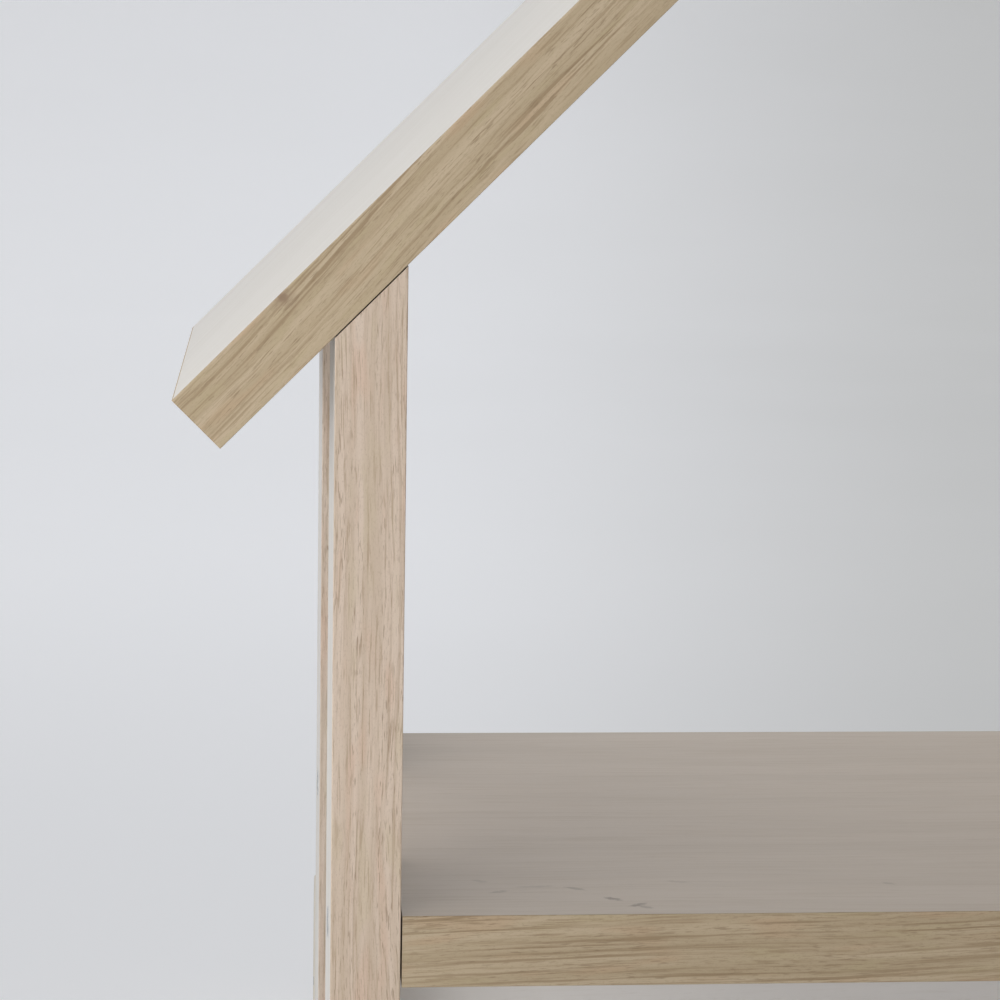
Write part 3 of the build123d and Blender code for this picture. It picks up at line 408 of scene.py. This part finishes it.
# ---- Fastener heads ----
def head_group():
    """Geometry Nodes tree: a domed rim on every place, facing along its stored direction."""
    tree = bpy.data.node_groups.new("fastener_heads", "GeometryNodeTree")
    face = tree.interface
    face.new_socket("Places", in_out="INPUT", socket_type="NodeSocketGeometry")
    for name in ("Outer radius", "Inner radius", "Rise"):
        face.new_socket(name, in_out="INPUT", socket_type="NodeSocketFloat")
    face.new_socket("Material", in_out="INPUT", socket_type="NodeSocketMaterial")
    face.new_socket("Heads", in_out="OUTPUT", socket_type="NodeSocketGeometry")
    given = tree.nodes.new("NodeGroupInput").outputs
    outer, inner, rise = given["Outer radius"], given["Inner radius"], given["Rise"]
    middle = math_node(tree, "MULTIPLY", math_node(tree, "ADD", outer, inner), 0.5)
    half = math_node(tree, "MULTIPLY", math_node(tree, "SUBTRACT", outer, inner), 0.5)
    path = node(tree, "GeometryNodeCurvePrimitiveCircle", RIM_STEPS)
    link(tree, middle, path.inputs["Radius"])
    profile = node(tree, "GeometryNodeCurvePrimitiveCircle", BEAD_STEPS)
    link(tree, half, profile.inputs["Radius"])
    rim = node(tree, "GeometryNodeCurveToMesh", path.outputs[0])
    link(tree, profile.outputs[0], rim.inputs["Profile Curve"])
    squash = node(tree, "ShaderNodeCombineXYZ", 1.0, 1.0, math_node(tree, "DIVIDE", rise, half))
    dome = node(tree, "GeometryNodeTransform", rim.outputs[0])
    link(tree, squash.outputs[0], dome.inputs["Scale"])
    facing = node(tree, "GeometryNodeInputNamedAttribute", "facing", data_type="FLOAT_VECTOR")
    turn = node(tree, "FunctionNodeAlignRotationToVector", axis="Z")
    link(tree, facing.outputs[0], turn.inputs["Vector"])
    heads = node(tree, "GeometryNodeInstanceOnPoints", given["Places"])
    link(tree, dome.outputs[0], heads.inputs["Instance"])
    link(tree, turn.outputs[0], heads.inputs["Rotation"])
    solid = node(tree, "GeometryNodeRealizeInstances", heads.outputs[0])
    smooth = node(tree, "GeometryNodeSetShadeSmooth", solid.outputs[0])
    painted = node(tree, "GeometryNodeSetMaterial", smooth.outputs[0])
    link(tree, given["Material"], painted.inputs["Material"])
    result = tree.nodes.new("NodeGroupOutput")
    link(tree, painted.outputs[0], result.inputs[0])
    return tree


def head_place(points):
    """Centre of a fastener's head and the direction it faces, from its points."""
    middle = points.mean(axis=0)
    axis = np.linalg.svd(points - middle, full_matrices=False)[2][0]
    along = (points - middle) @ axis
    radial = np.linalg.norm(points - middle - np.outer(along, axis), axis=1)
    if along[radial.argmax()] < 0:
        axis, along = -axis, -along
    return middle + axis * along.max(), axis, radial.max()


def add_heads(tree, name, body, nodes, socket_radius, material):
    """Domed rims over the heads of some fastener nodes, as one plain mesh."""
    found = [head_place(points) for source in nodes for points in islands(source)]
    mesh = bpy.data.meshes.new(f"{name}_places")
    mesh.from_pydata([tuple(centre) for centre, _, _ in found], [], [])
    facing = mesh.attributes.new("facing", "FLOAT_VECTOR", "POINT")
    for item, (_, axis, _) in zip(facing.data, found):
        item.vector = tuple(axis)
    places = bpy.data.objects.new(f"{name}_places", mesh)
    bpy.context.scene.collection.objects.link(places)
    modifier = places.modifiers.new("heads", "NODES")
    modifier.node_group = tree
    values = {"Outer radius": found[0][2] - HEAD_MARGIN, "Inner radius": socket_radius,
              "Rise": HEAD_RISE, "Material": material}
    for socket in tree.interface.items_tree:
        if socket.in_out == "INPUT" and socket.name in values:
            modifier[socket.identifier] = values[socket.name]
    depsgraph = bpy.context.evaluated_depsgraph_get()
    heads = bpy.data.meshes.new_from_object(places.evaluated_get(depsgraph))
    while heads.materials[0] is None:
        heads.materials.pop(index=0)
    places.modifiers.clear()
    bpy.data.objects.remove(places)
    bpy.data.meshes.remove(mesh)
    piece = bpy.data.objects.new(name, heads)
    bpy.context.scene.collection.objects.link(piece)
    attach(piece, body)


# ---- Sizes and colours a user would change ----
class SlideFinishes(bpy.types.PropertyGroup):
    """Colours of the boards, bands and fittings."""
    laminate: bpy.props.FloatVectorProperty(
        name="Laminate", description="Whitewashed board faces", size=4, subtype="COLOR",
        default=(0.72, 0.684, 0.633, 1))
    # Painted shade: the deck's laminate is the board laminate darkened for the roof's shade over
    # it.
    deck_laminate: bpy.props.FloatVectorProperty(
        name="Deck laminate", description="Greyer laminate of the deck", size=4, subtype="COLOR",
        default=(0.55, 0.461, 0.375, 1))
    band_warm: bpy.props.FloatVectorProperty(
        name="Warm band", description="Oak edge bands of roof, deck and treads", size=4,
        subtype="COLOR", default=(0.489, 0.387, 0.26, 1))
    band_rosy: bpy.props.FloatVectorProperty(
        name="Rosy band", description="Oak edge bands of the posts", size=4, subtype="COLOR",
        default=(0.605, 0.488, 0.388, 1))
    beech: bpy.props.FloatVectorProperty(
        name="Beech", description="Guard bars, battens and cleats", size=4, subtype="COLOR",
        default=(0.58, 0.40, 0.25, 1))
    plywood: bpy.props.FloatVectorProperty(
        name="Plywood", description="Chute bed and chute sides", size=4, subtype="COLOR",
        default=(0.70, 0.63, 0.51, 1))
    steel: bpy.props.FloatVectorProperty(
        name="Steel", description="Screws and bolts", size=4, subtype="COLOR",
        default=(0.60, 0.60, 0.59, 1))
    zinc: bpy.props.FloatVectorProperty(
        name="Zinc", description="Cams, barrel nuts and sleeve nuts", size=4, subtype="COLOR",
        default=(0.46, 0.46, 0.45, 1))
    glide: bpy.props.FloatVectorProperty(
        name="Glides", description="Plastic floor glides", size=4, subtype="COLOR",
        default=(0.66, 0.63, 0.58, 1))
    rubber: bpy.props.FloatVectorProperty(
        name="Rubber", description="Pads under the chute", size=4, subtype="COLOR",
        default=(0.05, 0.05, 0.05, 1))


class SlideStudio(bpy.types.PropertyGroup):
    """Camera place, lights and stage."""
    camera_left: bpy.props.FloatProperty(
        name="Camera left", description="Camera left of the left post's inner face",
        default=0.07057, unit="LENGTH")
    camera_back: bpy.props.FloatProperty(
        name="Camera back", description="Camera in front of the tower's front plane",
        default=1.36873, unit="LENGTH")
    camera_up: bpy.props.FloatProperty(
        name="Camera up", description="Camera above the deck", default=0.42692, unit="LENGTH")
    yaw: bpy.props.FloatProperty(
        name="Yaw", description="Turn to the right", default=0.0859248, subtype="ANGLE")
    pitch: bpy.props.FloatProperty(
        name="Pitch", description="Tilt down", default=0.1520735, subtype="ANGLE")
    roll: bpy.props.FloatProperty(
        name="Roll", description="Roll of the camera", default=0.0170162, subtype="ANGLE")
    lens: bpy.props.FloatProperty(
        name="Lens", description="Focal length on a 36 mm wide sensor", default=99.583,
        unit="CAMERA")
    sky_front: bpy.props.FloatProperty(
        name="Sky in front", description="Strength of the room light in front", default=0.27)
    sky_back: bpy.props.FloatProperty(
        name="Sky behind", description="Strength of the room light behind", default=1.06)
    window: bpy.props.FloatProperty(
        name="Window", description="Power of the broad window light", default=6.6, unit="POWER")
    # Painted glow: the backdrop's paint also emits light, though it is no lamp.
    glow: bpy.props.FloatProperty(
        name="Backdrop glow", description="Even lift of the lit backdrop", default=0.21)
    # Backdrop and its far side: the floor's painted light and painted shade, paler towards the
    # window and darker on the far side.
    backdrop: bpy.props.FloatVectorProperty(
        name="Backdrop", description="Pale floor on the window side", size=4, subtype="COLOR",
        default=(0.90, 0.905, 0.93, 1))
    backdrop_far_shade: bpy.props.FloatVectorProperty(
        name="Backdrop far side", description="Pale floor on the far side", size=4,
        subtype="COLOR", default=(0.645, 0.645, 0.64, 1))


def finishes():
    """The scene's finish settings."""
    return bpy.context.scene.slide_finishes


def studio():
    """The scene's studio settings."""
    return bpy.context.scene.slide_studio


# ---- Pieces ----
class SLIDE_OT_boards(bpy.types.Operator):
    """Whitewashed laminate on every board, its grain along the board"""
    bl_idname = "slide.boards"
    bl_label = "Board faces"

    def execute(self, context):
        tone, deck_shaded_tone = tuple(finishes().laminate), tuple(finishes().deck_laminate)
        # Painted shade: the deck gets a darker copy of the laminate, for the roof's shade over it.
        finish_node("deck_board", pale_laminate("deck_laminate", deck_shaded_tone, ALONG_X, (0, 0, 0.3),
                                                sheen=1.0, roughness=0.36, ticks=True))
        for side, sign in (("left", 1), ("right", -1)):
            up_slope = (sign * math.cos(ROOF_SLOPE), 0, math.sin(ROOF_SLOPE))
            made = pale_laminate(f"roof_{side}_laminate", tone, up_slope, (0, 0, sign),
                                 streaks=0.45)
            finish_node(f"roof_board_{side}", made)
        posts = [n for n in NODES if n.startswith("post_") and not n.endswith("edge_band")]
        post_tone = shade_of(tone, 0.84, 0.84, 0.84)
        for count, name in enumerate(sorted(posts)):
            made = pale_laminate(f"{name}_laminate", post_tone, ALONG_Z, (0.3 * count, 0, 0))
            finish_node(name, made)
        for name in ("step_side_left", "step_side_right", "base_rail_left", "base_rail_right"):
            finish_node(name, pale_laminate(f"{name}_laminate", tone, ALONG_Y, (0, 0, 0.7)))
        for count, name in enumerate(("step_tread_lower", "step_tread_upper", "step_cross_rail")):
            made = pale_laminate(f"{name}_laminate", tone, ALONG_X, (0, 0.2 * count, 0))
            finish_node(name, made)
        # Painted light: the rear apron gets a whiter copy of the laminate, lifted to make up for
        # the shade under the deck.
        apron_lightened_tone = shade_of(tone, 1.24, 1.28, 1.36)
        made = pale_laminate("rear_apron_laminate", apron_lightened_tone, ALONG_X, streaks=0.6)
        finish_node("rear_apron", made)
        return {"FINISHED"}


class SLIDE_OT_edge_bands(bpy.types.Operator):
    """Oak-grain bands on the boards' edges"""
    bl_idname = "slide.edge_bands"
    bl_label = "Edge bands"

    def execute(self, context):
        warm, rosy = tuple(finishes().band_warm), tuple(finishes().band_rosy)
        for side, sign in (("left", 1), ("right", -1)):
            slope = ROOF_SLOPE + GRAIN_DRIFT
            up_slope = (sign * math.cos(slope), 0, math.sin(slope))
            knot = KNOT if side == "left" else None
            made = oak_band(f"roof_{side}_oak", warm, up_slope, (0, 0, sign), knot=knot)
            finish_node(f"roof_board_{side}_edge_band", made)
        # Painted shade: the deck's band is the warm band darkened, for the lesser light on the
        # deck's front.
        deck_shaded_warm = shade_of(warm, 0.92, 0.92, 0.92)
        made = oak_band("deck_oak", deck_shaded_warm, (1, 0, GRAIN_DRIFT), (0, 0, 0.2), lines=1.1)
        finish_node("deck_board_edge_band", made)
        for level in ("lower", "upper"):
            made = oak_band(f"tread_{level}_oak", warm, (1, 0, -GRAIN_DRIFT), (0, 0.1, 0))
            finish_node(f"step_tread_{level}_edge_band", made)
        posts = [n for n in NODES if n.startswith("post_") and n.endswith("edge_band")]
        # Painted light: the rear posts' bands are a lighter, greyer copy of the rosy band, making
        # up for their shade.
        rear_lightened_rosy = shade_of(rosy, 1.02, 1.07, 1.13)
        for count, name in enumerate(sorted(posts)):
            tone = rear_lightened_rosy if "rear" in name else rosy
            made = oak_band(name.replace("_edge_band", "_oak"), tone, ALONG_Z,
                            (0.2 * count, 0, 0), lines=0.55, fibres=1.15)
            finish_node(name, made)
        return {"FINISHED"}


class SLIDE_OT_beech(bpy.types.Operator):
    """Oiled beech on the bars, battens, cleats and dowels"""
    bl_idname = "slide.beech"
    bl_label = "Beech pieces"

    def execute(self, context):
        tone = tuple(finishes().beech)
        across = plain_wood("beech_across", tone, ALONG_X)
        lengthwise = plain_wood("beech_lengthwise", tone, ALONG_Y)
        crosswise = ("chute_batten", "chute_foot", "chute_hanger", "cleat_rail", "wood_dowels")
        for name in NODES:
            if name.startswith(crosswise):
                finish_node(name, across)
            elif name.startswith(("guard_bar", "ridge_batten")):
                finish_node(name, lengthwise)
        return {"FINISHED"}


class SLIDE_OT_chute(bpy.types.Operator):
    """Pale plywood on the chute's bed and sides"""
    bl_idname = "slide.chute"
    bl_label = "Chute"

    def execute(self, context):
        tone = tuple(finishes().plywood)
        down = (0, -math.cos(CHUTE_SLOPE), math.sin(CHUTE_SLOPE))
        bed_ends, side_edges = (1, 0.80, 0.95, 2), (0, 0.55, 0.30, 0)
        made = pale_laminate("chute_bed_ply", tone, down, sheen=0.6, plies=bed_ends)
        finish_node("chute_bed", made)
        for count, name in enumerate(("chute_side_left", "chute_side_right")):
            made = pale_laminate(f"{name}_ply", tone, down, (0.4 * count, 0.2, 0),
                                 plies=side_edges)
            finish_node(name, made)
        return {"FINISHED"}


class SLIDE_OT_fasteners(bpy.types.Operator):
    """Screws, bolts, cams and nuts"""
    bl_idname = "slide.fasteners"
    bl_label = "Fasteners"

    def execute(self, context):
        steel = plated_metal("zinc_plated_steel", tuple(finishes().steel), 0.32)
        zinc = plated_metal("cast_zinc", tuple(finishes().zinc), 0.42)
        for name in ("deck_bolts", "step_bolts", "step_screws", "chute_screws", "cleat_screws",
                     "ridge_screws", "roof_pocket_screws", "cam_bolts"):
            finish_node(name, steel)
        for name in ("cam_housings", "deck_barrel_nuts", "step_sleeve_nuts"):
            finish_node(name, zinc)
        bolts = ("deck_bolts", "step_bolts", "step_sleeve_nuts")
        small_screws = ("ridge_screws", "roof_pocket_screws", "cleat_screws")
        tree = head_group()
        add_heads(tree, "bolt_heads", TOWER, bolts, HEX_SOCKET, steel)
        add_heads(tree, "step_screw_heads", TOWER, ("step_screws",), HEX_SOCKET, steel)
        add_heads(tree, "small_screw_heads", TOWER, small_screws, CROSS_SOCKET, steel)
        add_heads(tree, "chute_screw_heads", CHUTE, ("chute_screws",), HEX_SOCKET, steel)
        bpy.data.node_groups.remove(tree)
        return {"FINISHED"}


class SLIDE_OT_feet(bpy.types.Operator):
    """Plastic glides and rubber pads"""
    bl_idname = "slide.feet"
    bl_label = "Feet"

    def execute(self, context):
        plastic = moulded("glide_plastic", tuple(finishes().glide), 0.5, 0.6, 0.04)
        rubber = moulded("pad_rubber", tuple(finishes().rubber), 0.8, 0.9, 0.08)
        finish_node("floor_glides", plastic)
        finish_node("chute_pads", rubber)
        return {"FINISHED"}


class SLIDE_OT_stage(bpy.types.Operator):
    """Pale seamless floor, soft light and the camera"""
    bl_idname = "slide.stage"
    bl_label = "Stage"

    def execute(self, context):
        make_backdrop()
        make_lights()
        make_camera()
        context.scene.view_settings.view_transform = "Standard"
        return {"FINISHED"}


def make_backdrop():
    """Wide pale floor that sweeps up gently, far outside the object, with painted shade that
    leaves it paler on the window side.
    """
    profile = [(0.0, 0.0)]
    for step in range(SWEEP_STEPS + 1):
        share = step / SWEEP_STEPS
        reach = FLAT_FLOOR + (FLOOR_REACH - FLAT_FLOOR) * share
        profile.append((reach, FLOOR_RISE * share ** 2))
    shape = bmesh.new()
    points = [shape.verts.new((r, 0, z)) for r, z in profile]
    edges = [shape.edges.new(pair) for pair in zip(points, points[1:])]
    bmesh.ops.spin(shape, geom=points + edges, cent=(0, 0, 0), axis=(0, 0, 1),
                   angle=2 * math.pi, steps=TURN_STEPS)
    bmesh.ops.remove_doubles(shape, verts=shape.verts, dist=SEAM_GAP)
    bmesh.ops.recalc_face_normals(shape, faces=shape.faces)
    if max(shape.faces, key=lambda face: face.calc_area()).normal.z < 0:
        bmesh.ops.reverse_faces(shape, faces=shape.faces)
    mesh = bpy.data.meshes.new("backdrop")
    shape.to_mesh(mesh)
    shape.free()
    for face in mesh.polygons:
        face.use_smooth = True
    backdrop = bpy.data.objects.new("backdrop", mesh)
    bpy.context.scene.collection.objects.link(backdrop)
    mesh.materials.append(backdrop_paint())


def backdrop_paint():
    """Matt paint with painted shade: darker from the window side to the far side, a painted grey
    shade in front of the camera, and a painted glow stronger on the far sweep.
    """
    view = studio()
    material, tree, shader = new_material("pale_backdrop")
    place = tree.nodes.new("ShaderNodeTexCoord").outputs["Object"]
    seen_from = (view.camera_left - POST_HIGH.x, view.camera_back - FRONT_Y, 0)
    mapping = node(tree, "ShaderNodeMapping", place, seen_from, (0, 0, 0), (1, 1, 0))
    heading = vector_math(tree, "NORMALIZE", mapping.outputs[0])
    across, ahead = node(tree, "ShaderNodeSeparateXYZ", heading).outputs[:2]
    reach = length_of(tree, mapping.outputs[0])
    in_front, away = spread(tree, ahead, 0.2, 0.9), spread(tree, reach, 1.2, 2.7)
    beyond = math_node(tree, "MULTIPLY", in_front, away)
    # Painted shade: in front of the camera the paint darkens from the window side to the far side.
    ramp = math_node(tree, "SUBTRACT", spread(tree, across, 0.03, 0.30), EVEN_SHADE)
    ramp = math_node(tree, "ADD", math_node(tree, "MULTIPLY", ramp, beyond), EVEN_SHADE)
    cloud = noise(tree, place, (1400, 1400, 1400), 2.0)
    patches = spread(tree, cloud.outputs[0], 0.3, 0.7, -0.02, 0.02)
    shade = math_node(tree, "ADD", ramp, patches, clamp=True)
    tone = mix_colour(tree, shade, tuple(view.backdrop), tuple(view.backdrop_far_shade))
    # Painted shade: up to 27 % grey over the floor in front of the camera, fading out between 2.4
    # and 5.8 m from its foot.
    near = math_node(tree, "MULTIPLY", spread(tree, reach, 5.8, 2.4, 0.0, 0.27), beyond)
    tone = mix_colour(tree, near, tone, PAINTED_SHADE_GREY)
    tree.links.new(tone, shader.inputs["Base Color"])
    # Painted glow: the backdrop emits its own paint colour, more strongly from 8 to 16 m out.
    tree.links.new(tone, shader.inputs["Emission Color"])
    glow = spread(tree, reach, 8, 16, view.glow, view.glow * FAR_GLOW)
    tree.links.new(glow, shader.inputs["Emission Strength"])
    shader.inputs["Roughness"].default_value = 0.95
    shader.inputs["Specular IOR Level"].default_value = 0.0
    return material


def area_light(name, place, target, size, power, tone, beam):
    """Soft rectangular light aimed at a point."""
    data = bpy.data.lights.new(name, "AREA")
    data.shape = "RECTANGLE"
    data.size, data.size_y = size
    data.energy = power
    data.color = tone
    data.spread = beam
    light = bpy.data.objects.new(name, data)
    aim = (target - place).to_track_quat("-Z", "Y")
    light.matrix_world = Matrix.Translation(place) @ aim.to_matrix().to_4x4()
    bpy.context.scene.collection.objects.link(light)


def make_lights():
    """Soft sky, brighter behind the tower, and a broad window on the left."""
    view = studio()
    world = bpy.data.worlds.new("soft_room")
    world.use_nodes = True
    tree = world.node_tree
    background = tree.nodes["Background"]
    background.inputs[0].default_value = SKY_TONE
    heading = tree.nodes.new("ShaderNodeTexCoord").outputs["Generated"]
    parts = node(tree, "ShaderNodeSeparateXYZ", heading).outputs
    strength = spread(tree, parts[1], -0.5, 0.7, view.sky_front, view.sky_back)
    window_side = spread(tree, parts[0], -0.8, 0.8, 1.18, 0.78)
    tree.links.new(math_node(tree, "MULTIPLY", strength, window_side), background.inputs[1])
    bpy.context.scene.world = world
    centre = Vector((POST_LOW.x, FRONT_Y, DECK_TOP + WINDOW_AIM))
    area_light("window_light", centre + WINDOW_OFFSET, centre, (WINDOW_SIZE, WINDOW_SIZE),
               view.window, WINDOW_TONE, WINDOW_BEAM)


def make_camera():
    """Camera a little left of the left post, looking slightly down at the eave and the deck."""
    view = studio()
    place = INNER_CORNER + Vector((-view.camera_left, -view.camera_back, view.camera_up))
    forward = Vector((math.sin(view.yaw) * math.cos(view.pitch),
                      math.cos(view.yaw) * math.cos(view.pitch), -math.sin(view.pitch)))
    right = Vector((math.cos(view.yaw), -math.sin(view.yaw), 0))
    up = right.cross(forward)
    turned_right = right * math.cos(view.roll) + up * math.sin(view.roll)
    turned_up = up * math.cos(view.roll) - right * math.sin(view.roll)
    axes = Matrix((turned_right, turned_up, -forward)).transposed()
    data = bpy.data.cameras.new("camera")
    data.sensor_width = SENSOR_WIDTH
    data.lens = view.lens
    data.clip_end = SIGHT_LIMIT
    camera = bpy.data.objects.new("camera", data)
    camera.matrix_world = Matrix.Translation(place) @ axes.to_4x4()
    bpy.context.scene.collection.objects.link(camera)
    bpy.context.scene.camera = camera


class SLIDE_PT_panel(bpy.types.Panel):
    """Lists the slide's pieces, stage and settings"""
    bl_idname = "SLIDE_PT_panel"
    bl_label = "Toddler slide"
    bl_space_type = "VIEW_3D"
    bl_region_type = "UI"
    bl_category = "Slide"

    def draw(self, context):
        """List the operators, then the settings"""
        for operator in OPERATORS:
            self.layout.operator(operator.bl_idname)
        for group in (context.scene.slide_finishes, context.scene.slide_studio):
            for name in group.__annotations__:
                self.layout.prop(group, name)


GROUPS = (SlideFinishes, SlideStudio)
OPERATORS = (SLIDE_OT_boards, SLIDE_OT_edge_bands, SLIDE_OT_beech, SLIDE_OT_chute,
             SLIDE_OT_fasteners, SLIDE_OT_feet, SLIDE_OT_stage)


def register():
    """Register the classes and hang the settings on the scene."""
    for made in GROUPS + OPERATORS + (SLIDE_PT_panel,):
        bpy.utils.register_class(made)
    bpy.types.Scene.slide_finishes = bpy.props.PointerProperty(type=SlideFinishes)
    bpy.types.Scene.slide_studio = bpy.props.PointerProperty(type=SlideStudio)


def unregister():
    """Undo register."""
    del bpy.types.Scene.slide_studio
    del bpy.types.Scene.slide_finishes
    for made in reversed(GROUPS + OPERATORS + (SLIDE_PT_panel,)):
        bpy.utils.unregister_class(made)


def main():
    """Finish every piece and set the stage."""
    register()
    for operator in OPERATORS:
        group, name = operator.bl_idname.split(".")
        getattr(getattr(bpy.ops, group), name)()


if __name__ == "__main__":
    main()
